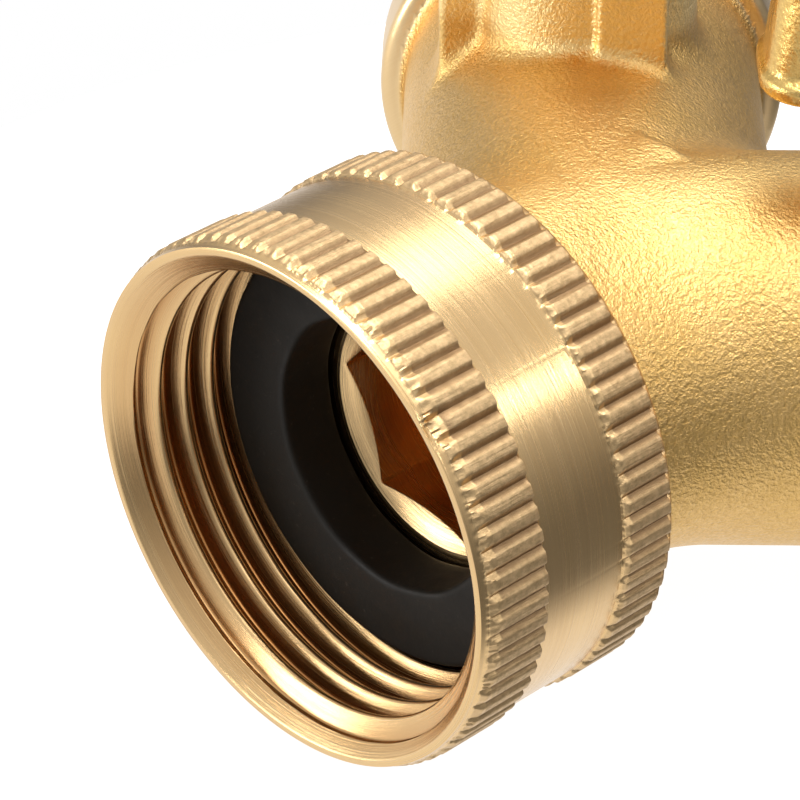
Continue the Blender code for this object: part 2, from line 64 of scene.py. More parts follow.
def along(direction):
    """A frame at the junction whose Z runs along a direction and whose Y is up."""
    z_axis = Vector(direction).normalized()
    y_axis = Vector((0, 0, 1))
    turn = Matrix((y_axis.cross(z_axis), y_axis, z_axis)).transposed().to_4x4()
    return Matrix.Translation(JUNCTION) @ turn


def measured(node, place):
    """(largest radius, lowest station, highest station) of a CAD node about a frame's Z."""
    inverse = place.inverted()
    points = np.array([inverse @ vert.co for vert in frame["nodes"][node].data.vertices])
    return np.hypot(points[:, 0], points[:, 1]).max(), points[:, 2].min(), points[:, 2].max()


joint_at = {joint["name"]: Vector(joint["pos_m"]) for joint in frame["joints"]}
valve_at = {side: joint_at[side + "_valve_turn"] for side in SIDES}
valve_offset = abs(valve_at["left"].x)
VALVE_STATION = valve_offset * math.sqrt(2)
JUNCTION = Vector((0, valve_at["left"].y - valve_offset, valve_at["left"].z))

inlet_axis = along((0, -1, 0))
arm_axis, stem_axis = {}, {}
for side in SIDES:
    heading = (valve_at[side] - JUNCTION).normalized()
    arm_axis[side] = along(heading)
    stem_axis[side] = Matrix.Translation(valve_at[side]) @ Matrix.Rotation(math.atan2(heading.y, heading.x), 4, "Z")

NUT_R, NUT_BACK, NUT_FRONT = measured("swivel_nut", inlet_axis)
WASHER_R, WASHER_BACK, WASHER_FRONT = measured("inlet_washer", inlet_axis)
WASHER_HOLE_R = 7.6 * MM
FLANGE_R, TAILPIECE_END, FLANGE_FRONT = measured("inlet_tailpiece", inlet_axis)
THREAD_PITCH = 1.814 * MM
HEX_FLATS = 11.8 * MM
HEX_DEPTH = 5.5 * MM
HEX_CHAMFER_R = 7.1 * MM
HEX_TURN = math.radians(52.5)
BORE_R = 5.5 * MM

ARM_R = 10.55 * MM
COLLAR_R = 12.0 * MM
COLLAR_START = 28.7 * MM
ARM_END = 33.4 * MM
NECK_R = 6.1 * MM
NECK_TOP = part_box("body")[1].z - JUNCTION.z


# ---------------------------------------------------------------- materials


class Shader:
    """A Principled material and short ways to add nodes to it."""

    def __init__(self, name):
        self.material = bpy.data.materials.new(name)
        self.material.use_nodes = True
        self.tree = self.material.node_tree
        self.surface = self.tree.nodes["Principled BSDF"]
        coordinates = self.tree.nodes.new("ShaderNodeTexCoord")
        self.position = coordinates.outputs["Object"]

    def add(self, kind, inputs=(), **settings):
        node = self.tree.nodes.new(kind)
        for key, value in settings.items():
            setattr(node, key, value)
        for key, value in dict(inputs).items():
            if isinstance(value, bpy.types.NodeSocket):
                self.tree.links.new(value, node.inputs[key])
            else:
                node.inputs[key].default_value = value
        return node

    def math(self, operation, a, b=0.0, c=0.0):
        node = self.add("ShaderNodeMath", {0: a, 1: b, 2: c}, operation=operation)
        return node.outputs[0]

    def noise(self, scale, detail=3.0, roughness=0.5, vector=None, distortion=0.0):
        inputs = {"Scale": scale, "Detail": detail, "Roughness": roughness, "Distortion": distortion}
        inputs["Vector"] = self.position if vector is None else vector
        return self.add("ShaderNodeTexNoise", inputs).outputs["Fac"]

    def remap(self, value, low, high, to_low=0.0, to_high=1.0):
        inputs = {"Value": value, "From Min": low, "From Max": high, "To Min": to_low, "To Max": to_high}
        return self.add("ShaderNodeMapRange", inputs).outputs["Result"]

    def mix(self, factor, first, second):
        node = self.add("ShaderNodeMix", {"Factor": factor}, data_type="RGBA")
        for socket, value in ((node.inputs[6], first), (node.inputs[7], second)):
            if isinstance(value, bpy.types.NodeSocket):
                self.tree.links.new(value, socket)
            else:
                socket.default_value = (*value, 1.0)
        return node.outputs[2]

    def blend(self, factor, first, second):
        """A number between two others."""
        node = self.add("ShaderNodeMix", {0: factor, 2: first, 3: second}, data_type="FLOAT")
        return node.outputs[0]

    def attribute(self, name):
        return self.add("ShaderNodeAttribute", attribute_name=name).outputs["Fac"]

    def bump(self, height, strength, distance, normal=None):
        inputs = {"Height": height, "Strength": strength, "Distance": distance}
        if normal is not None:
            inputs["Normal"] = normal
        return self.add("ShaderNodeBump", inputs).outputs["Normal"]

    def cylinder(self, around, across):
        """Coordinates about the piece's Z that are stretched along the turning marks."""
        parts = self.add("ShaderNodeSeparateXYZ", {0: self.position}).outputs
        square = self.math("MULTIPLY_ADD", parts[0], parts[0], self.math("MULTIPLY", parts[1], parts[1]))
        level = self.math("MULTIPLY", self.math("ADD", self.math("SQRT", square), parts[2]), across)
        x = self.math("MULTIPLY", parts[0], around)
        y = self.math("MULTIPLY", parts[1], around)
        return self.add("ShaderNodeCombineXYZ", {0: x, 1: y, 2: level}).outputs[0]

    def lengthwise(self, around, across):
        """Coordinates about the piece's Z that are stretched along that axis."""
        parts = self.add("ShaderNodeSeparateXYZ", {0: self.position}).outputs
        x = self.math("MULTIPLY", parts[0], around)
        y = self.math("MULTIPLY", parts[1], around)
        z = self.math("MULTIPLY", parts[2], across)
        return self.add("ShaderNodeCombineXYZ", {0: x, 1: y, 2: z}).outputs[0]

    def finish(self, colour, roughness, normal, metallic=1.0):
        for key, value in (("Base Color", colour), ("Roughness", roughness), ("Normal", normal)):
            self.tree.links.new(value, self.surface.inputs[key])
        self.surface.inputs["Metallic"].default_value = metallic
        return self.material


def cast_brass():
    """A bead-blasted forging: finely sparkling, with painted shade in its bores, painted light on the tops of its
    necks, and turned faces where a mask says so.
    """
    shader = Shader("cast_brass")
    machined = shader.attribute("machined")
    hollow_shade = shader.attribute("hollow_shade")
    patches = shader.remap(shader.noise(170, 4, 0.6), 0.35, 0.65)
    grains = shader.noise(6500, 2, 0.6)
    pits = shader.noise(3300, 2, 0.55)
    gold = shader.mix(patches, (0.84, 0.54, 0.19), (0.88, 0.58, 0.235))
    gold = shader.mix(shader.remap(grains, 0.4, 0.6, 0.45, 0), gold, (0.60, 0.36, 0.09))
    gold = shader.mix(shader.remap(pits, 0.3, 0.5, 0.25, 0), gold, (0.60, 0.36, 0.10))
    # painted shade: the bores are coloured a darker brown, as if in shadow
    gold = shader.mix(shader.math("MULTIPLY", hollow_shade, 0.8), gold, (0.66, 0.36, 0.08))
    # painted light: the tops of the valve necks are coloured paler and brighter, as if lit
    gold = shader.mix(shader.attribute("upper"), gold, (1.0, 0.74, 0.33))
    lathe = shader.noise(1, 3, 0.6, shader.cylinder(120, 9000))
    turned = shader.mix(lathe, (0.80, 0.56, 0.28), (0.86, 0.63, 0.35))
    colour = shader.mix(machined, gold, turned)
    rough = shader.remap(shader.noise(2400, 3), 0.3, 0.7, 0.34, 0.46)
    roughness = shader.blend(machined, rough, 0.3)
    height = shader.math("MULTIPLY_ADD", pits, 1.2, grains)
    blasted = shader.math("MULTIPLY", height, shader.math("SUBTRACT", 1.0, machined))
    return shader.finish(colour, roughness, shader.bump(blasted, 0.75, 0.00009))


# inside is the colour of the painted shade in hollows
def turned_brass(
    name="turned_brass", light=(0.88, 0.62, 0.32), dark=(0.78, 0.51, 0.23), inside=(0.66, 0.30, 0.07), knurled=False
):
    """Brass off the lathe: fine marks round the axis, faint tarnish, painted shade in hollows and knurl grooves,
    rolling marks on a knurl.
    """
    shader = Shader(name)
    marks = shader.noise(1, 4, 0.65, shader.cylinder(40, 9000))
    broad = shader.noise(1, 3, 0.55, shader.cylinder(18, 1600))
    tarnish = shader.remap(shader.noise(160, 5, 0.6), 0.38, 0.68)
    colour = shader.mix(broad, dark, light)
    colour = shader.mix(shader.math("MULTIPLY", tarnish, 0.35), colour, (0.70, 0.46, 0.24))
    roughness = shader.remap(marks, 0.3, 0.7, 0.17, 0.3)
    height = shader.math("MULTIPLY_ADD", broad, 0.6, marks)
    if knurled:
        teeth = shader.attribute("knurl")
        rolled = shader.noise(1, 4, 0.7, shader.lengthwise(7000, 350))
        specks = shader.noise(2600, 4, 0.7)
        rolled = shader.math("MULTIPLY", shader.math("ADD", specks, rolled), 2.4)
        height = shader.blend(teeth, height, rolled)
        worn = shader.mix(shader.remap(specks, 0.35, 0.7), (0.80, 0.57, 0.31), (0.50, 0.34, 0.17))
        colour = shader.mix(teeth, colour, worn)
        roughness = shader.blend(teeth, roughness, 0.5)
        # painted shade: the knurl grooves are coloured darker the deeper they are
        colour = shader.mix(shader.attribute("groove_shade"), colour, (0.36, 0.23, 0.12))
    hollow_shade = shader.attribute("hollow_shade")
    # painted shade: hollows such as thread roots and socket insides are coloured dark brown and lose their bump
    colour = shader.mix(shader.math("MULTIPLY", hollow_shade, 0.85), colour, inside)
    height = shader.math("MULTIPLY", height, shader.math("SUBTRACT", 1.0, hollow_shade))
    return shader.finish(colour, roughness, shader.bump(height, 0.35, 0.00006))


def handle_metal():
    """A bright plated casting with a slightly wrinkled skin."""
    shader = Shader("handle_metal")
    ripple = shader.noise(900, 3, 0.55, distortion=0.6)
    grains = shader.noise(4800, 2, 0.6)
    wear = shader.remap(shader.noise(260, 5, 0.65), 0.5, 0.72)
    colour = shader.mix(shader.noise(120, 3), (0.88, 0.61, 0.22), (0.82, 0.54, 0.17))
    colour = shader.mix(shader.math("MULTIPLY", wear, 0.4), colour, (0.6, 0.36, 0.1))
    colour = shader.mix(shader.remap(grains, 0.4, 0.6, 0.35, 0), colour, (0.55, 0.33, 0.08))
    roughness = shader.remap(shader.noise(700, 4), 0.3, 0.7, 0.24, 0.36)
    height = shader.math("MULTIPLY_ADD", grains, 0.5, ripple)
    return shader.finish(colour, roughness, shader.bump(height, 0.6, 0.00012))


def rubber():
    shader = Shader("rubber")
    dust = shader.remap(shader.noise(2300, 5, 0.75), 0.62, 0.8)
    colour = shader.mix(shader.noise(180, 4), (0.009, 0.007, 0.005), (0.016, 0.013, 0.009))
    colour = shader.mix(shader.math("MULTIPLY", dust, 0.4), colour, (0.16, 0.13, 0.10))
    roughness = shader.remap(shader.noise(500, 4), 0.3, 0.7, 0.5, 0.68)
    height = shader.math("MULTIPLY_ADD", shader.noise(2600, 4, 0.7), 0.5, shader.noise(420, 3))
    shader.surface.inputs["Specular IOR Level"].default_value = 0.28
    return shader.finish(colour, roughness, shader.bump(height, 0.35, 0.0001), 0.0)


def ptfe():
    shader = Shader("ptfe")
    marks = shader.noise(1, 3, 0.6, shader.cylinder(100, 7000))
    colour = shader.mix(shader.noise(200, 4), (0.83, 0.83, 0.81), (0.9, 0.9, 0.89))
    roughness = shader.remap(marks, 0.3, 0.7, 0.38, 0.52)
    return shader.finish(colour, roughness, shader.bump(marks, 0.2, 0.00005), 0.0)


def steel():
    """Zinc-plated steel with a faint blue cast."""
    shader = Shader("steel")
    marks = shader.noise(1, 4, 0.6, shader.cylinder(140, 9000))
    colour = shader.mix(shader.noise(500, 3), (0.62, 0.64, 0.66), (0.72, 0.72, 0.7))
    roughness = shader.remap(marks, 0.3, 0.7, 0.2, 0.34)
    return shader.finish(colour, roughness, shader.bump(marks, 0.3, 0.00005))


materials = {
    "cast_brass": cast_brass(),
    # the nut's thread roots get a deeper painted shade colour
    "nut_brass": turned_brass("nut_brass", inside=(0.45, 0.19, 0.05), knurled=True),
    "turned_brass": turned_brass(),
    "handle_metal": handle_metal(),
    "rubber": rubber(),
    "ptfe": ptfe(),
    "steel": steel(),
}


# ---------------------------------------------------------------- mesh tools


def mesh_of(name, points, faces):
    mesh = bpy.data.meshes.new(name)
    mesh.vertices.add(len(points))
    mesh.vertices.foreach_set("co", np.asarray(points, np.float32).ravel())
    mesh.loops.add(faces.size)
    mesh.loops.foreach_set("vertex_index", faces.astype(np.int32).ravel())
    mesh.polygons.add(len(faces))
    mesh.polygons.foreach_set("loop_start", np.arange(0, faces.size, faces.shape[1], dtype=np.int32))
    mesh.update(calc_edges=True)
    mesh.validate()
    return mesh


def set_mask(mesh, name, values):
    attribute = mesh.attributes.new(name, "FLOAT", "POINT")
    attribute.data.foreach_set("value", np.asarray(values, np.float32).ravel())


def piece_from(mesh, node, place, body, slot, sharp=None):
    """Shows a mesh in place of a CAD node."""
    mesh.shade_smooth()
    if sharp:
        mesh.set_sharp_from_angle(angle=math.radians(sharp))
    mesh.materials.clear()
    mesh.materials.append(materials[slot])
    piece = bpy.data.objects.new(node + "_finish", mesh)
    bpy.context.scene.collection.objects.link(piece)
    piece.matrix_world = place
    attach(piece, body)
    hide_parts(node)
    return piece


def softened(profile, radius, closed=True, steps=3):
    """Rounds the corners of a profile. It is an array of (radius, station) rows, with one column for each angle
    where the shape changes round the axis. A close row on each side of a corner keeps the flat beside it flat."""
    profile = np.asarray(profile, float)
    if profile.ndim == 2:
        profile = profile[:, :, None]
    rows = []
    last = len(profile) - 1
    for index, point in enumerate(profile):
        if not closed and index in (0, last):
            rows.append(point)
            continue
        before = profile[index - 1] - point
        after = profile[(index + 1) % len(profile)] - point
        room = np.minimum(np.hypot(*before), np.hypot(*after))
        reach = np.minimum(radius, 0.3 * room)
        start = point + before / np.hypot(*before) * reach
        end = point + after / np.hypot(*after) * reach
        rows.append(point + (start - point) * 1.5)
        for step in range(steps + 1):
            share = step / steps
            rows.append(start * (1 - share) ** 2 + 2 * point * share * (1 - share) + end * share**2)
        rows.append(point + (end - point) * 1.5)
    return np.array(rows)


def spun_mesh(name, profile, columns, closed=True):
    """A profile carried round Z. The profile's rows run down its outer side and, on a ring, back up its bore."""
    angles = np.asarray(columns, float) if np.ndim(columns) else np.arange(columns) * TURN / columns
    count = len(angles)
    profile = np.broadcast_to(profile, (*profile.shape[:2], count))
    radius, station = profile[:, 0], profile[:, 1]
    points = np.stack([radius * np.cos(angles), radius * np.sin(angles), station], -1).reshape(-1, 3)
    rows = len(profile)
    row = np.arange(rows if closed else rows - 1)
    first = row[:, None] * count + np.arange(count)
    below = ((row + 1) % rows)[:, None] * count + np.arange(count)
    faces = np.stack([first, below, np.roll(below, -1, 1), np.roll(first, -1, 1)], -1).reshape(-1, 4)
    mesh = mesh_of(name, points, faces)
    if not closed:
        merged(mesh)
    return mesh


def merged(mesh, distance=1e-7):
    bm = bmesh.new()
    bm.from_mesh(mesh)
    bmesh.ops.remove_doubles(bm, verts=bm.verts, dist=distance)
    bm.to_mesh(mesh)
    bm.free()


def scratch_object(mesh):
    obj = bpy.data.objects.new(mesh.name, mesh)
    bpy.context.scene.collection.objects.link(obj)
    return obj


def combined(mesh, others, operation):
    """The mesh after a Boolean with each of the others."""
    base = scratch_object(mesh)
    helpers = [scratch_object(other) for other in others]
    for helper in helpers:
        modifier = base.modifiers.new(helper.name, "BOOLEAN")
        modifier.operation = operation
        modifier.solver = "EXACT"
        modifier.object = helper
    graph = bpy.context.evaluated_depsgraph_get()
    result = bpy.data.meshes.new_from_object(base.evaluated_get(graph))
    for obj in (base, *helpers):
        bpy.data.objects.remove(obj, do_unlink=True)
    return result


def box_mesh(low, high, bevel=0.0):
    bm = bmesh.new()
    bmesh.ops.create_cube(bm, size=1)
    low, high = Vector(low), Vector(high)
    bmesh.ops.scale(bm, vec=high - low, verts=bm.verts)
    bmesh.ops.translate(bm, vec=(low + high) / 2, verts=bm.verts)
    if bevel:
        bmesh.ops.bevel(bm, geom=bm.edges, offset=bevel, segments=3, profile=0.5, affect="EDGES")
    mesh = bpy.data.meshes.new("box")
    bm.to_mesh(mesh)
    bm.free()
    return mesh


def ridge(phase, sharpness, edge):
    """A truncated V wave: 0 on its crests, which are at whole phases, and 1 in its roots."""
    wave = np.abs((phase + 0.5) % 1.0 - 0.5) * 2
    level = (wave - 0.5) * sharpness + 0.5

    def above(value):
        return (value + np.sqrt(value**2 + edge**2)) / 2

    return above(level) - above(level - 1)


# ---------------------------------------------------------------- the field that cast pieces are skinned from


def in_frame(points, place):
    matrix = np.array(place.inverted())
    return points @ matrix[:3, :3].T + matrix[:3, 3]


def rounded_meet(first, second, edge):
    """The inside of two fields at once, with a rounded edge."""
    a, b = first + edge, second + edge
    return np.hypot(np.maximum(a, 0), np.maximum(b, 0)) + np.minimum(np.maximum(a, b), 0) - edge


def round_bar(points, radius, low, high, edge=0.35 * MM, draft=0.0):
    """A cylinder about Z, which narrows with height by its draft."""
    side = np.hypot(points[:, 0], points[:, 1]) - radius + draft * (points[:, 2] - low)
    ends = np.abs(points[:, 2] - (low + high) / 2) - (high - low) / 2
    return rounded_meet(side, ends, edge)


def square_bar(points, low, high, edge=0.35 * MM, corner=None, draft=0.0):
    """A block between two corners. Its upright edges have the corner radius, its top and bottom the edge."""
    corner = edge if corner is None else corner
    low, high = np.array(low), np.array(high)
    shrink = draft * (points[:, 2] - low[2])
    half = (high - low) / 2
    offset = np.abs(points - (low + high) / 2)
    x = offset[:, 0] - half[0] + shrink + corner
    y = offset[:, 1] - half[1] + shrink + corner
    side = np.hypot(np.maximum(x, 0), np.maximum(y, 0)) + np.minimum(np.maximum(x, y), 0) - corner
    return rounded_meet(side, offset[:, 2] - half[2], edge)


def melt(first, second, fillet):
    """The union of two fields, with a fillet where they meet."""
    near = np.maximum(fillet - np.abs(first - second), 0)
    return np.minimum(first, second) - near**2 / (4 * fillet)


def carve(solid, hole, edge=0.2 * MM):
    return -melt(-solid, hole, edge)


def slopes(field, points, step):
    out = np.empty_like(points)
    for axis in range(3):
        shift = np.zeros(3)
        shift[axis] = step
        out[:, axis] = (field(points + shift) - field(points - shift)) / (2 * step)
    return out


def onto(field, points, step, rounds):
    """Moves points onto the field's surface."""
    for _ in range(rounds):
        value = field(points)
        slope = slopes(field, points, step * 0.2)
        move = value / np.maximum((slope**2).sum(1), 0.2)
        points = points - slope * np.clip(move, -step, step)[:, None]
    return points


def skin(name, field, low, high, step):
    """The surface where a field is zero, as even quads: one point in each grid cell that the surface crosses."""
    low, high = np.array(low) - 2 * step, np.array(high) + 2 * step
    count = np.ceil((high - low) / step).astype(int) + 1
    axes = [low[axis] + step * np.arange(count[axis]) for axis in range(3)]
    value = np.empty(tuple(count), np.float32)
    for index, x in enumerate(axes[0]):
        y, z = np.meshgrid(axes[1], axes[2], indexing="ij")
        layer = np.stack([np.full(y.size, x), y.ravel(), z.ravel()], -1)
        value[index] = field(layer).reshape(y.shape)
    inside = value < 0
    filled = np.zeros(tuple(count - 1), np.int8)
    for corner in np.ndindex(2, 2, 2):
        filled += inside[tuple(slice(c, n - 1 + c) for c, n in zip(corner, count))]
    crossed = (filled > 0) & (filled < 8)
    number = np.full(tuple(count - 1), -1)
    number[crossed] = np.arange(crossed.sum())
    points = low + step * (np.argwhere(crossed) + 0.5)
    faces = []
    for axis in range(3):
        u, v = (axis + 1) % 3, (axis + 2) % 3
        ahead = [slice(1, n - 1) for n in count]
        ahead[axis] = slice(0, count[axis] - 1)
        following = list(ahead)
        following[axis] = slice(1, count[axis])
        a, b = inside[tuple(ahead)], inside[tuple(following)]
        cells = np.argwhere(a != b)
        outward = a[a != b]
        origin = cells + 1
        origin[:, axis] -= 1
        ring = []
        for du, dv in ((-1, -1), (0, -1), (0, 0), (-1, 0)):
            cell = origin.copy()
            cell[:, u] += du
            cell[:, v] += dv
            ring.append(number[tuple(cell.T)])
        ring = np.stack(ring, -1)
        faces.append(np.where(outward[:, None], ring, ring[:, ::-1]))
    faces = np.concatenate(faces)
    points = onto(field, points, step, 4)
    for _ in range(3):
        total = np.zeros_like(points)
        share = np.zeros(len(points))
        for start, end in ((0, 1), (1, 2), (2, 3), (3, 0)):
            for a, b in ((start, end), (end, start)):
                np.add.at(total, faces[:, a], points[faces[:, b]])
                np.add.at(share, faces[:, a], 1)
        points = points * 0.5 + total / share[:, None] * 0.5
        points = onto(field, points, step, 2)
    return mesh_of(name, points, faces), points


# ---------------------------------------------------------------- the body

DRAFT = math.tan(math.radians(2))


def body_parts(points):
    """(cast limbs and lugs, collars) as fields, before the bores."""
    height = points[:, 2] - JUNCTION.z
    crotch = 5.0 * MM * np.clip(1 - (height / ARM_R) ** 2, 0.02, 1)
    cast = round_bar(in_frame(points, inlet_axis), ARM_R, -ARM_R / 2, NUT_BACK - 0.5 * MM)
    collars = None
    for side in SIDES:
        arm = in_frame(points, arm_axis[side])
        limb = round_bar(arm, ARM_R, 0, COLLAR_START + 1.7 * MM)
        cast = melt(cast, limb, crotch)
        collar = round_bar(arm, COLLAR_R, COLLAR_START, ARM_END, 0.8 * MM)
        collars = collar if collars is None else np.minimum(collars, collar)
    for side in SIDES:
        stem = in_frame(points, stem_axis[side])
        out = OUTWARD[side]
        neck = round_bar(stem, NECK_R + 0.2 * MM, ARM_R / 2, NECK_TOP, 0.25 * MM, DRAFT * 0.8)
        lug_top = NECK_TOP - 0.35 * MM
        near, far = sorted((out * NECK_R * 0.7, out * 8.35 * MM))
        outer = square_bar(stem, (-1.7 * MM, near, 4.2 * MM), (1.7 * MM, far, lug_top), 0.25 * MM, 0.4 * MM)
        near, far = sorted((-out * 0.35 * MM, -out * 4.2 * MM))
        low, high = (-6.9 * MM, near, 6.3 * MM), (-NECK_R * 0.6, far, lug_top)
        inner = square_bar(stem, low, high, 0.25 * MM, 0.3 * MM)
        valve = melt(melt(neck, outer, 0.6 * MM), inner, 0.35 * MM)
        cast = melt(cast, valve, 1.1 * MM)
    return cast, collars


def body_field(points):
    cast, collars = body_parts(points)
    solid = melt(cast, collars, 0.75 * MM)
    inlet = in_frame(points, inlet_axis)
    hole = np.minimum(
        round_bar(inlet, 8.25 * MM, 1.0 * MM, NUT_FRONT, 0.1 * MM),
        round_bar(inlet, 5.3 * MM, -2.6 * MM, NUT_FRONT, 0.1 * MM),
    )
    for side in SIDES:
        arm = in_frame(points, arm_axis[side])
        stem = in_frame(points, stem_axis[side])
        for place, radius, low, high in (
            (arm, 4.4 * MM, -0.3 * MM, 12 * MM),
            (arm, 8.6 * MM, 11.3 * MM, ARM_END + 1 * MM),
            (arm, 9.8 * MM, 28.2 * MM, ARM_END + 1 * MM),
            (stem, 4.45 * MM, 0, 9.6 * MM),
            (stem, 3.85 * MM, 0, NECK_TOP + 1 * MM),
        ):
            hole = np.minimum(hole, round_bar(place, radius, low, high, 0.1 * MM))
    return carve(solid, hole)


def make_body():
    low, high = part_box("body")
    step = 0.27 * MM
    mesh, points = skin("body", body_field, low, high, step)
    cast, collars = body_parts(points)
    set_mask(mesh, "machined", np.clip((cast - collars) / (0.4 * MM), 0, 1))
    plain = np.minimum(cast, collars)
    # a mask of where the bores are carved, for painted shade
    set_mask(mesh, "hollow_shade", np.clip(plain - body_field(points), 0, 0.5 * MM) / (0.5 * MM))
    # a mask of the tops of the valve necks, for painted light
    set_mask(mesh, "upper", np.clip((points[:, 2] - JUNCTION.z - 10.2 * MM) / MM, 0, 1))
    return piece_from(mesh, "body", Matrix.Identity(4), "root", "cast_brass")


# ---------------------------------------------------------------- the swivel nut and its washer

TEETH = 76
TOOTH_COLUMNS = (0.0, 0.1, 0.19, 0.26, 0.34, 0.42, 0.5, 0.58, 0.66, 0.74, 0.81, 0.9)
TOOTH_DEPTHS = (0, 0, 0.03, 0.16, 0.5, 0.84, 1, 0.84, 0.5, 0.16, 0.03, 0)
GROOVE_DEPTH = 0.28 * MM
NUT_RIDGE_R = NUT_R - 0.35 * MM
NUT_MOUTH_R = NUT_R - 0.75 * MM
NUT_CREST_R = 12.15 * MM
NUT_ROOT_R = 13.25 * MM
THREAD_START = 1.5 * MM
THREAD_END = 8.9 * MM
DING_TURN = math.radians(43)


def knurl(seed):
    """(angles, depth below the tooth tops) for each column round the nut, with small differences between teeth."""
    random = np.random.default_rng(seed)
    tooth = np.arange(TEETH)[:, None]
    share = np.array(TOOTH_COLUMNS)[None, :]
    angles = (tooth + share) * TURN / TEETH
    depths = np.array(TOOTH_DEPTHS)[None, :] * GROOVE_DEPTH * random.uniform(0.88, 1.08, (TEETH, 1))
    tops = random.uniform(0, 0.03, (TEETH, 1)) * MM
    return angles.ravel(), (depths + tops).ravel()


def nut_outside(angles):
    """(radius, station, knurl mask) rows down the nut's outer side."""
    columns = len(angles)
    ones = np.ones(columns)
    random = np.random.default_rng(11)
    front_depth, back_depth = knurl(3)[1], knurl(5)[1]
    jitter = random.uniform(-0.03, 0.05, columns) * MM
    band_r = NUT_R - 0.3 * MM
    knurl_start, knurl_width = 1.0 * MM, 3.3 * MM
    rows = []

    def level(station, radius, mask=0.0):
        rows.append((radius * ones, station * ones, mask * ones))

    for depth, inset in ((0.0, 0.09), (0.03, 0.025), (0.1, 0.0), (0.17, 0.0)):
        level(NUT_FRONT - depth * MM, NUT_RIDGE_R - inset * MM)
    for t in np.linspace(0.24, 1.15, 11) * MM:
        blank = NUT_RIDGE_R + max(t - 0.2 * MM, 0) * 0.46 + jitter * (t > 0.4 * MM)
        radius = np.minimum(blank, NUT_R - front_depth)
        rows.append((radius, (NUT_FRONT - t) * ones, (t > 0.5 * MM) * 0.6 * ones))
    end = knurl_start + knurl_width
    for t in np.linspace(1.25 * MM, end - 0.07 * MM, 12):
        wave = 1 + 0.06 * np.sin(t / MM * 6 + 7 * angles)
        rows.append((NUT_R - front_depth * wave, (NUT_FRONT - t) * ones, ones))
    edge = np.minimum(NUT_R - front_depth, NUT_R - 0.03 * MM)
    rows.append((edge, (NUT_FRONT - end) * ones, ones))
    rows.append((np.minimum(band_r, edge), (NUT_FRONT - end - 0.04 * MM) * ones, 0.5 * ones))
    level(NUT_FRONT - end - 0.1 * MM, band_r)
    level(NUT_FRONT - end - 0.25 * MM, band_r)
    rear = NUT_BACK + knurl_width + 0.3 * MM
    level(rear + 0.25 * MM, band_r)
    for t in np.linspace(0, 0.5, 7) * MM:
        blank = band_r + t * 0.8 + jitter * (t > 0)
        rows.append((np.minimum(blank, NUT_R - back_depth), (rear - t) * ones, (t > 0.1 * MM) * 0.6 * ones))
    for station in np.linspace(rear - 0.6 * MM, NUT_BACK + 0.4 * MM, 12):
        rows.append((NUT_R - back_depth, station * ones, ones))
    for t in np.linspace(0.35, 0.05, 4) * MM:
        blank = NUT_R - 0.38 * MM + t
        rows.append((np.minimum(blank, NUT_R - back_depth), (NUT_BACK + t) * ones, 0.6 * ones))
    level(NUT_BACK, NUT_R - 0.43 * MM)
    rows = np.array(rows)
    away = (angles - DING_TURN) * NUT_R / (0.75 * MM)
    sunk = (NUT_FRONT - 0.75 * MM - rows[:, 1]) / (0.6 * MM)
    ding = np.exp(-(away**2)) * np.exp(-(sunk**2)) * (0.75 + 0.5 * random.random(columns))
    rows[:, 0] -= 0.42 * MM * ding
    return rows


def nut_inside(angles):
    """(radius, station) rows from the nut's back face, through its hole and up its thread."""
    ones = np.ones(len(angles))
    hole_r = 8.9 * MM
    seat = FLANGE_FRONT - 1.8 * MM
    corners = [
        (hole_r + 1.7 * MM, NUT_BACK),
        (hole_r, NUT_BACK),
        (hole_r, seat),
        (NUT_ROOT_R, seat),
        (NUT_ROOT_R, seat + 1.7 * MM),
    ]
    rows = [(r * ones, z * ones) for r, z in softened(corners, 0.2 * MM, closed=False)[:, :, 0]]
    for t in np.arange(THREAD_END + 0.2 * MM, 0.02 * MM, -0.045 * MM):
        wave = ridge((t - THREAD_START) / THREAD_PITCH + angles / TURN, 1.5, 0.14)
        runout = np.clip((THREAD_END - t) / (0.6 * MM), 0, 1)
        radius = NUT_ROOT_R + (NUT_CREST_R - NUT_ROOT_R) * (1 - wave) * runout
        lead = NUT_MOUTH_R - t * 1.04
        rows.append((np.maximum(radius, lead), (NUT_FRONT - t) * ones))
    for inset, drop in ((0.0, 0.02), (0.04, 0.0), (0.12, 0.0)):
        rows.append(((NUT_MOUTH_R + inset * MM) * ones, (NUT_FRONT - drop * MM) * ones))
    return np.array(rows)


def make_nut():
    angles, _ = knurl(3)
    outside, inside = nut_outside(angles), nut_inside(angles)
    count = len(outside)
    masks = np.zeros((count + len(inside), len(angles)))
    masks[:count] = outside[:, 2]
    mesh = spun_mesh("swivel_nut", np.concatenate([outside[:, :2], inside]), angles)
    set_mask(mesh, "knurl", masks)
    # a mask of how deep each knurl groove is, for painted shade
    groove_shade = np.zeros_like(masks)
    groove_shade[:count] = np.clip((NUT_R - outside[:, 0]) / GROOVE_DEPTH, 0, 1) * (outside[:, 2] > 0.9)
    set_mask(mesh, "groove_shade", groove_shade)
    # painted shade in the thread roots, stronger further in from the mouth
    hollow_shade = np.zeros_like(masks)
    hollow_shade[count:] = np.clip((inside[:, 0] - NUT_CREST_R) / (NUT_ROOT_R - NUT_CREST_R), 0, 1)
    hollow_shade[count:] *= np.clip((NUT_FRONT - inside[:, 1]) / (2 * MM), 0, 1)
    set_mask(mesh, "hollow_shade", hollow_shade)
    piece = piece_from(mesh, "swivel_nut", inlet_axis, "nut", "nut_brass", sharp=34)
    smooth_inside(mesh, NUT_CREST_R * 0.8, NUT_ROOT_R + 0.3 * MM)
    return piece


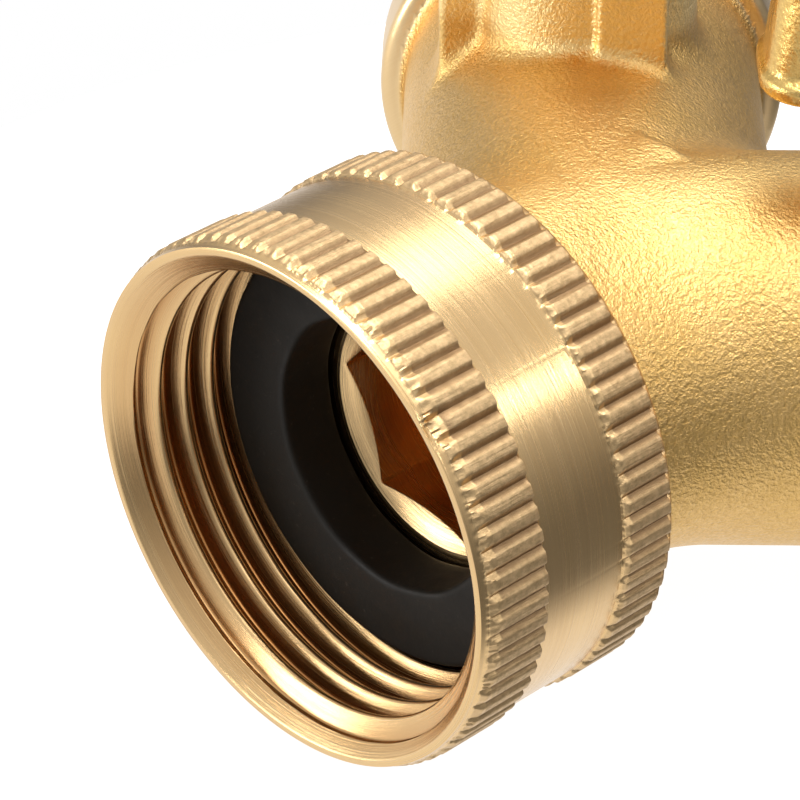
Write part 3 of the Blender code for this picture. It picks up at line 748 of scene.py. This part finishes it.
def smooth_inside(mesh, low_r, high_r):
    """Takes the sharp marks off edges between two radii, so a thread that crosses the rows stays even."""
    co = np.empty(len(mesh.vertices) * 3, np.float32)
    mesh.vertices.foreach_get("co", co)
    radius = np.hypot(*co.reshape(-1, 3)[:, :2].T)
    ends = np.empty(len(mesh.edges) * 2, np.int32)
    mesh.edges.foreach_get("vertices", ends)
    ends = ends.reshape(-1, 2)
    sharp = mesh.attributes.get("sharp_edge")
    if sharp is None:
        return
    flags = np.empty(len(mesh.edges), bool)
    sharp.data.foreach_get("value", flags)
    within = ((radius[ends] > low_r) & (radius[ends] < high_r)).all(1)
    sharp.data.foreach_set("value", flags & ~within)


def make_washer():
    """The rubber washer: soft edges, and a hole that is not quite round."""
    columns = 360
    angle = np.arange(columns) * TURN / columns
    hole = WASHER_HOLE_R + 0.05 * MM * np.sin(3 * angle + 1) + 0.025 * MM * np.sin(11 * angle)
    outer = WASHER_R + 0 * angle
    front = WASHER_FRONT + 0.04 * MM * np.sin(2 * angle + 0.5)
    back = WASHER_BACK + 0 * angle
    profile = np.array([(outer, front), (outer, back), (hole, back), (hole, front)])
    mesh = spun_mesh("inlet_washer", softened(profile, 0.35 * MM, steps=5), columns)
    return piece_from(mesh, "inlet_washer", inlet_axis, "nut", "rubber")


# ---------------------------------------------------------------- turned brass with a hexagon socket


def hexagon_radius(angles):
    turn = (angles - HEX_TURN + math.pi / 6) % (math.pi / 3) - math.pi / 6
    return HEX_FLATS / 2 / np.cos((math.pi / 6) - np.abs(turn))


def socket_rows(angles, mouth):
    """The inside of a hexagon socket from its round bore up to its conical mouth."""
    flat = hexagon_radius(angles)
    floor = mouth - HEX_DEPTH
    edge = 0.04 * MM
    cone = np.maximum(HEX_CHAMFER_R, flat + 0.02 * MM)
    sunk = mouth - 0.5 * (cone - flat)
    return [
        (BORE_R + 0 * angles, floor - 2.5 * MM + 0 * angles),
        (BORE_R + 0 * angles, floor - 0.2 * MM + 0 * angles),
        (BORE_R + 0.08 * MM + 0 * angles, floor + 0 * angles),
        (flat - 0.1 * MM, floor + 0 * angles),
        (flat, floor + 0.1 * MM + 0 * angles),
        (flat, sunk - 4 * edge),
        (flat, sunk - edge),
        (flat + edge, sunk + 0.2 * edge),
        (flat + 0.5 * (cone - flat), (mouth + sunk) / 2),
        (cone, mouth - 0.02 * MM + 0 * angles),
        (cone + 0.05 * MM, mouth + 0 * angles),
        (cone + 0.25 * MM, mouth + 0 * angles),
    ]


def socket_mask(mesh, mouth):
    """Marks the inside of a socket, below its cone, for painted shade."""
    points = np.array([vert.co for vert in mesh.vertices])
    radius = np.hypot(points[:, 0], points[:, 1])
    below = np.clip((mouth - 0.5 * MM - points[:, 2]) / (0.6 * MM), 0, 1)
    set_mask(mesh, "hollow_shade", below * (radius < HEX_CHAMFER_R))


def screw_rows(angles, start, end, crest, root, spacing=0.08 * MM, runout=0.7 * MM):
    """A right-handed male thread from one station to another: it fades out at both ends."""
    rows = []
    for station in np.linspace(start, end, max(4, int(abs(end - start) / spacing))):
        wave = 1 - ridge(station / THREAD_PITCH - angles / TURN, 1.6, 0.12)
        fade = min(1.0, abs(station - start) / runout, abs(station - end) / runout)
        rows.append((root + (crest - root) * wave * fade, station + 0 * angles))
    return rows


def flat_rows(points, angles, radius=0.15 * MM):
    soft = softened(points, radius, closed=False)[:, :, 0]
    return [(r + 0 * angles, z + 0 * angles) for r, z in soft]


def make_tailpiece():
    angles = np.arange(360) * TURN / 360
    back = FLANGE_FRONT - 1.5 * MM
    neck_end = NUT_BACK - 0.3 * MM
    thread_r, root_r = 7.95 * MM, 7.35 * MM
    outside = [
        (8.9 * MM, FLANGE_FRONT),
        (FLANGE_R, FLANGE_FRONT),
        (FLANGE_R, back),
        (8.6 * MM, back),
        (8.6 * MM, neck_end),
        (root_r, neck_end),
        (root_r, neck_end - 0.25 * MM),
    ]
    thread = screw_rows(angles, neck_end - 0.35 * MM, TAILPIECE_END + 0.6 * MM, thread_r, root_r)
    tail = [
        (root_r, TAILPIECE_END + 0.5 * MM),
        (root_r, TAILPIECE_END),
        (BORE_R, TAILPIECE_END),
        (BORE_R, TAILPIECE_END + 1 * MM),
    ]
    rows = flat_rows(outside, angles) + thread + flat_rows(tail, angles) + socket_rows(angles, FLANGE_FRONT)
    mesh = spun_mesh("inlet_tailpiece", np.array(rows), angles)
    socket_mask(mesh, FLANGE_FRONT)
    return piece_from(mesh, "inlet_tailpiece", inlet_axis, "root", "turned_brass", sharp=50)


def make_adapter(side):
    node = side + "_outlet_adapter"
    place = arm_axis[side]
    flange_r, nose, mouth = measured(node, place)
    angles = np.arange(360) * TURN / 360
    shoulder = ARM_END + 0.3 * MM
    flange = shoulder + 1.3 * MM
    crest, root = 10.48 * MM, 9.3 * MM
    tip = [(7.6 * MM, mouth), (9.1 * MM, mouth), (root, mouth - 0.3 * MM), (root, mouth - 0.5 * MM)]
    thread = screw_rows(angles, mouth - 0.5 * MM, flange + 0.3 * MM, crest, root, runout=0.9 * MM)
    base = [
        (root, flange + 0.25 * MM),
        (root, flange),
        (flange_r, flange),
        (flange_r, shoulder),
        (9.5 * MM, shoulder),
        (9.5 * MM, 30.2 * MM),
        (7.75 * MM, 30.2 * MM),
        (7.75 * MM, nose),
        (BORE_R, nose),
        (BORE_R, nose + 1 * MM),
    ]
    rows = flat_rows(tip, angles) + thread + flat_rows(base, angles) + socket_rows(angles, mouth)
    mesh = spun_mesh(node, np.array(rows), angles)
    socket_mask(mesh, mouth)
    return piece_from(mesh, node, place, "root", "turned_brass", sharp=50)


# ---------------------------------------------------------------- rings, seats, balls and stems


def make_ring(node, place, body, sides=28, columns=160):
    """An O-ring: a round cord turned about the frame's Z."""
    outer_r, low, high = measured(node, place)
    cord_r = (high - low) / 2 * 1.12
    turns = -np.arange(sides) * TURN / sides
    across, up = outer_r - cord_r + cord_r * np.cos(turns), (low + high) / 2 + cord_r * np.sin(turns)
    mesh = spun_mesh(node, np.stack([across, up], -1)[:, :, None], columns)
    return piece_from(mesh, node, place, body, "rubber")


def make_seat(side, place_name):
    node = f"{side}_{place_name}_seat"
    place = arm_axis[side]
    seat_r, low, high = measured(node, place)
    ball_r = 7.05 * MM
    toward = 1 if place_name == "inner" else -1
    bore_r, face_r = 4.5 * MM, 5.9 * MM
    angles = np.linspace(math.asin(bore_r / ball_r), math.asin(face_r / ball_r), 10)
    centre = VALVE_STATION - toward * 0.3 * MM
    bowl = [(ball_r * math.sin(a), centre - toward * ball_r * math.cos(a)) for a in angles]
    back, face = (low, high) if toward > 0 else (high, low)
    corners = [(seat_r, face), (seat_r, back), (bore_r, back)]
    soft = softened([bowl[-1], *corners, bowl[0]], 0.2 * MM, closed=False)[:, :, 0]
    profile = np.array([*map(tuple, soft), *bowl[1:-1]])
    if toward < 0:
        profile = profile[::-1]
    mesh = spun_mesh(node, profile[:, :, None], 200)
    return piece_from(mesh, node, place, "root", "ptfe", sharp=50)


def make_ball(side):
    node = side + "_ball"
    bm = bmesh.new()
    bmesh.ops.create_uvsphere(bm, u_segments=120, v_segments=60, radius=6.75 * MM)
    ball = bpy.data.meshes.new(node)
    bm.to_mesh(ball)
    bm.free()
    profile = np.array([(0, 8), (5.4, 8), (4.2, 5), (4.2, -5), (5.4, -8), (0, -8)]) * MM
    bore = spun_mesh("bore", profile[:, :, None], 120, closed=False)
    bore.transform(Matrix.Rotation(math.pi / 2, 4, "Y"))
    slot = box_mesh((-1.15 * MM, -7.6 * MM, 4.95 * MM), (1.15 * MM, 7.6 * MM, 8.5 * MM))
    mesh = combined(ball, (bore, slot), "DIFFERENCE")
    return piece_from(mesh, node, stem_axis[side], side + "_valve", "turned_brass", sharp=30)


def make_stem(side):
    node = side + "_stem"
    shaft_r, groove_r, flange_r, half = 3.55, 2.25, 3.85, 0.8
    corners = [(0, 16.35), (shaft_r, 16.35)]
    for height in (14.1, 11.5):
        for radius, station in ((shaft_r, half), (groove_r, half), (groove_r, -half), (shaft_r, -half)):
            corners.append((radius, height + station))
    corners += [(shaft_r, 8.6), (flange_r, 8.6), (flange_r, 7.35), (0, 7.35)]
    profile = softened(np.array(corners) * MM, 0.12 * MM, closed=False)
    shaft = spun_mesh(node, profile, 128, closed=False)
    tang = box_mesh((-0.85 * MM, -3.55 * MM, 5.25 * MM), (0.85 * MM, 3.55 * MM, 7.65 * MM), 0.15 * MM)
    head = box_mesh((-2.0 * MM, -2.0 * MM, 16.0 * MM), (2.0 * MM, 2.0 * MM, 20.2 * MM), 0.2 * MM)
    mesh = combined(shaft, (tang, head), "UNION")
    hole = np.array([(0, 20.5), (1.8, 20.5), (1.55, 19.95), (1.55, 16.2), (0, 15.5)]) * MM
    mesh = combined(mesh, (spun_mesh("hole", hole[:, :, None], 64, closed=False),), "DIFFERENCE")
    return piece_from(mesh, node, stem_axis[side], side + "_valve", "turned_brass", sharp=30)


def make_thrust_washer(side):
    node = side + "_thrust_washer"
    outer_r, low, high = measured(node, stem_axis[side])
    corners = [(outer_r, high), (outer_r, low), (3.85 * MM, low), (3.85 * MM, high)]
    mesh = spun_mesh(node, softened(corners, 0.08 * MM), 160)
    return piece_from(mesh, node, stem_axis[side], "root", "ptfe")


# ---------------------------------------------------------------- handles, screws and spring washers


def skirt_limits(side):
    """The lowest and highest angle of the handle's skirt, read from the CAD handle."""
    inverse = stem_axis[side].inverted()
    points = np.array([inverse @ vert.co for vert in frame["nodes"][side + "_handle"].data.vertices])
    low = points[points[:, 2] < points[:, 2].min() + 0.4 * MM]
    low = low[np.hypot(low[:, 0], low[:, 1]) > 6.3 * MM]
    middle = OUTWARD[side] * -math.pi / 6
    turn = (np.arctan2(low[:, 1], low[:, 0]) - middle + math.pi) % TURN - math.pi
    return middle + turn.min(), middle + turn.max()


def handle_field(points, skirt):
    x, y, z = points.T
    bottom, top = 16.6 * MM, 24.2 * MM
    lip_top = bottom + 1.0 * MM
    angle = np.arctan2(y, x)
    radius = np.hypot(x, y)
    low, high = (-11.0 * MM, -3.75 * MM, bottom), (11.0 * MM, 3.75 * MM, top)
    bar = square_bar(points, low, high, 1.1 * MM, 2.5 * MM, 0.105)
    waist = np.hypot((np.abs(x) - 7.25 * MM) / 1.5, np.abs(y) - 11.5 * MM) - 8.1 * MM
    bar = carve(bar, np.maximum(waist, -(z - 18.2 * MM)), 1.0 * MM)
    low, high = (-11.2 * MM, -3.95 * MM, bottom), (11.2 * MM, 3.95 * MM, lip_top)
    lip = square_bar(points, low, high, 0.3 * MM, 2.7 * MM)
    bar = melt(bar, lip, 0.4 * MM)
    hub = round_bar(points, 6.2 * MM, bottom, top + 0.15 * MM, 0.7 * MM, 0.12)
    flange = round_bar(points, 8.0 * MM, bottom, lip_top, 0.3 * MM)
    solid = np.maximum(melt(melt(bar, hub, 1.35 * MM), flange, 0.4 * MM), bottom - z)
    low, high = skirt
    middle, half = (low + high) / 2, (high - low) / 2
    turn = np.abs((angle - middle + math.pi) % TURN - math.pi)
    wall = np.maximum(radius - 8.0 * MM, 6.5 * MM - radius)
    sector = rounded_meet(wall, (turn - half) * 7.25 * MM, 0.25 * MM)
    sector = rounded_meet(sector, np.abs(z - 15.4 * MM) - 1.75 * MM, 0.25 * MM)
    solid = melt(solid, sector, 0.35 * MM)
    socket = square_bar(points, (-2.3 * MM, -2.3 * MM, 8 * MM), (2.3 * MM, 2.3 * MM, 20.5 * MM), 0.1 * MM)
    bore = round_bar(points, 1.55 * MM, 17 * MM, 25.5 * MM, 0.1 * MM)
    recess = round_bar(points, 3.05 * MM, 22.3 * MM, 25.5 * MM, 0.2 * MM)
    return carve(solid, np.minimum(np.minimum(socket, bore), recess), 0.25 * MM)


def make_handle(side):
    node = side + "_handle"
    limits = skirt_limits(side)
    step = 0.21 * MM
    low, high = Vector((-11.3, -8.1, 13.6)) * MM, Vector((11.3, 8.1, 24.4)) * MM
    mesh, _ = skin(node, lambda points: handle_field(points, limits), low, high, step)
    return piece_from(mesh, node, stem_axis[side], side + "_valve", "handle_metal")


def make_handle_screw(side):
    node = side + "_handle_screw"
    _, low, high = measured(node, stem_axis[side])
    head_r, shank_r, head = 2.45 * MM, 1.25 * MM, 1.45 * MM
    under = high - head
    dome = [(head_r * math.sin(a), high - head * 0.55 * (1 - math.cos(a))) for a in np.linspace(0, math.pi / 2, 12)]
    neck = [(head_r, under), (shank_r, under), (shank_r, under - 0.3 * MM)]
    shank = []
    for station in np.arange(under - 0.4 * MM, low + 0.4 * MM, -0.05 * MM):
        phase = (station / (0.4 * MM)) % 1.0
        shank.append((shank_r - 0.18 * MM * abs(2 * phase - 1), station))
    tip = [(shank_r - 0.25 * MM, low + 0.15 * MM), (0.7 * MM, low), (0, low)]
    profile = np.array(dome + neck + shank + tip)
    body = spun_mesh(node, profile[:, :, None], 72, closed=False)
    cutters = []
    for turn in (0, math.pi / 2):
        wing = box_mesh((-1.4 * MM, -0.3 * MM, high - 0.95 * MM), (1.4 * MM, 0.3 * MM, high + 0.3 * MM))
        for vert in wing.vertices:
            vert.co.x *= 0.45 if vert.co.z < high else 1.0
        wing.transform(Matrix.Rotation(turn, 4, "Z"))
        cutters.append(wing)
    mesh = combined(body, cutters, "DIFFERENCE")
    return piece_from(mesh, node, stem_axis[side], side + "_valve", "steel", sharp=30)


def make_spring_washer(side):
    """A split ring, bent so that its two ends stand a little apart."""
    node = side + "_spring_washer"
    outer_r, low, high = measured(node, stem_axis[side])
    inner_r = 1.55 * MM
    gap = math.radians(12)
    steps = 96
    lift = 0.08 * MM
    thick = high - low - lift
    bm = bmesh.new()
    rings = []
    for step in range(steps + 1):
        share = step / steps
        angle = gap / 2 + share * (TURN - gap)
        base = low + lift * share
        corners = [(outer_r, base + thick), (outer_r, base), (inner_r, base), (inner_r, base + thick)]
        across, up = math.cos(angle), math.sin(angle)
        soft = softened(corners, 0.07 * MM)[:, :, 0]
        rings.append([bm.verts.new((r * across, r * up, z)) for r, z in soft])
    for first, second in zip(rings, rings[1:]):
        for index in range(len(first)):
            bm.faces.new((first[index - 1], first[index], second[index], second[index - 1]))
    bm.faces.new(rings[0])
    bm.faces.new(reversed(rings[-1]))
    bmesh.ops.recalc_face_normals(bm, faces=bm.faces)
    mesh = bpy.data.meshes.new(node)
    bm.to_mesh(mesh)
    bm.free()
    return piece_from(mesh, node, stem_axis[side], side + "_valve", "steel", sharp=40)


# ---------------------------------------------------------------- the studio

CAMERA_OFFSET = Vector((0.11938, -0.12690, 0.11019))
CAMERA_AZIMUTH = math.radians(46.6)
CAMERA_ELEVATION = math.radians(33.13)
CAMERA_ROLL = math.radians(-0.45)
CAMERA_LENS = 173.2
PAPER_WHITE = 1.0
WORLD_STEPS = ((-0.2, 0.17), (0, 0.24), (0.2, 0.42), (0.6, 0.78))
WORLD_GLOWS = (((-0.62, -0.72, -0.3), 0.4, 0.9, 1.0), ((-0.35, -0.25, -0.9), 0.15, 0.45, 1.0))
FLOOR_R = 0.062


def make_camera():
    data = bpy.data.cameras.new("camera")
    data.lens = CAMERA_LENS
    data.sensor_width = 36
    data.clip_start = 0.01
    data.clip_end = 10
    camera = bpy.data.objects.new("camera", data)
    bpy.context.scene.collection.objects.link(camera)
    tilt = Matrix.Rotation(math.pi / 2 - CAMERA_ELEVATION, 4, "X")
    turn = Matrix.Rotation(CAMERA_AZIMUTH, 4, "Z")
    roll = Matrix.Rotation(CAMERA_ROLL, 4, "Z")
    camera.matrix_world = Matrix.Translation(JUNCTION + CAMERA_OFFSET) @ turn @ tilt @ roll
    bpy.context.scene.camera = camera


def softbox(name, direction, distance, width, height, brightness):
    """A panel that faces the junction. Its brightness is its radiance, whatever its size."""
    data = bpy.data.lights.new(name, "AREA")
    data.shape = "RECTANGLE"
    data.size = width
    data.size_y = height
    data.energy = brightness * math.pi * width * height
    light = bpy.data.objects.new(name, data)
    bpy.context.scene.collection.objects.link(light)
    direction = Vector(direction).normalized()
    light.location = JUNCTION + direction * distance
    light.rotation_euler = direction.to_track_quat("Z", "Y").to_euler()
    return light


def make_world(scene):
    """A soft room: dim at the horizon, brighter overhead, below and to the front left. It looks white itself."""
    world = bpy.data.worlds.new("studio")
    scene.world = world
    world.use_nodes = True
    tree = world.node_tree
    direction = tree.nodes.new("ShaderNodeTexCoord").outputs["Generated"]
    split = tree.nodes.new("ShaderNodeSeparateXYZ")
    tree.links.new(direction, split.inputs[0])
    ramp = tree.nodes.new("ShaderNodeValToRGB")
    height = tree.nodes.new("ShaderNodeMapRange")
    height.inputs["From Min"].default_value = -1
    tree.links.new(split.outputs[2], height.inputs["Value"])
    tree.links.new(height.outputs["Result"], ramp.inputs["Fac"])
    stops = ramp.color_ramp.elements
    stops.remove(stops[1])
    stops[0].color = (0.2, 0.2, 0.2, 1)
    for height, grey in WORLD_STEPS:
        stops.new(height / 2 + 0.5).color = (grey, grey, grey, 1)
    total = ramp.outputs["Color"]
    for heading, start, end, brightness in WORLD_GLOWS:
        toward = tree.nodes.new("ShaderNodeVectorMath")
        toward.operation = "DOT_PRODUCT"
        toward.inputs[1].default_value = heading
        tree.links.new(direction, toward.inputs[0])
        glow = tree.nodes.new("ShaderNodeMapRange")
        glow.inputs["From Min"].default_value = start
        glow.inputs["From Max"].default_value = end
        glow.inputs["To Max"].default_value = brightness
        tree.links.new(toward.outputs["Value"], glow.inputs["Value"])
        brighter = tree.nodes.new("ShaderNodeMath")
        brighter.operation = "MAXIMUM"
        tree.links.new(total, brighter.inputs[0])
        tree.links.new(glow.outputs["Result"], brighter.inputs[1])
        total = brighter.outputs[0]
    seen = tree.nodes.new("ShaderNodeMix")
    path = tree.nodes.new("ShaderNodeLightPath")
    tree.links.new(path.outputs["Is Camera Ray"], seen.inputs[0])
    tree.links.new(total, seen.inputs[2])
    seen.inputs[3].default_value = PAPER_WHITE
    tree.links.new(seen.outputs[0], tree.nodes["Background"].inputs["Color"])


def make_studio():
    scene = bpy.context.scene
    scene.view_settings.view_transform = "Standard"
    scene.view_settings.look = "None"
    make_world(scene)
    softbox("behind_left", (-0.22, 0.44, 0.87), 0.5, 0.21, 0.24, 3.2)
    softbox("zenith", (-0.07, 0.04, 1.0), 0.45, 0.17, 0.17, 9.0)
    softbox("overhead", (0.22, -0.22, 0.95), 0.5, 0.4, 0.4, 1.2)
    softbox("back_right", (0.643, 0.575, 0.505), 0.5, 0.09, 0.09, 8.0)
    softbox("front_left", (-0.6, -0.79, 0.13), 0.5, 0.22, 0.16, 6.5)


def make_floor():
    """A round sheet of white paper, a little wider than the object."""
    shader = Shader("floor")
    tone = shader.noise(6, 3)
    colour = shader.mix(tone, (0.30, 0.30, 0.30), (0.32, 0.32, 0.32))
    roughness = shader.remap(tone, 0.3, 0.7, 0.7, 0.8)
    shader.finish(colour, roughness, shader.bump(tone, 0.02, 0.0001), 0.0)
    shader.surface.inputs["Emission Color"].default_value = (1, 1, 1, 1)
    shader.surface.inputs["Emission Strength"].default_value = 0.93
    bm = bmesh.new()
    bmesh.ops.create_circle(bm, cap_ends=True, segments=128, radius=FLOOR_R)
    mesh = bpy.data.meshes.new("floor")
    bm.to_mesh(mesh)
    bm.free()
    mesh.materials.append(shader.material)
    floor = bpy.data.objects.new("floor", mesh)
    bpy.context.scene.collection.objects.link(floor)
    floor.visible_glossy = False


# ---------------------------------------------------------------- assembly

make_body()
make_nut()
make_washer()
make_tailpiece()
make_ring("tailpiece_o_ring", inlet_axis, "root")
for side in SIDES:
    valve = side + "_valve"
    make_adapter(side)
    make_ring(side + "_adapter_o_ring", arm_axis[side], "root")
    make_seat(side, "inner")
    make_seat(side, "outer")
    make_ball(side)
    make_stem(side)
    for ring in ("lower", "upper"):
        make_ring(f"{side}_stem_o_ring_{ring}", stem_axis[side], valve)
    make_thrust_washer(side)
    make_handle(side)
    make_handle_screw(side)
    make_spring_washer(side)
make_camera()
make_studio()
make_floor()
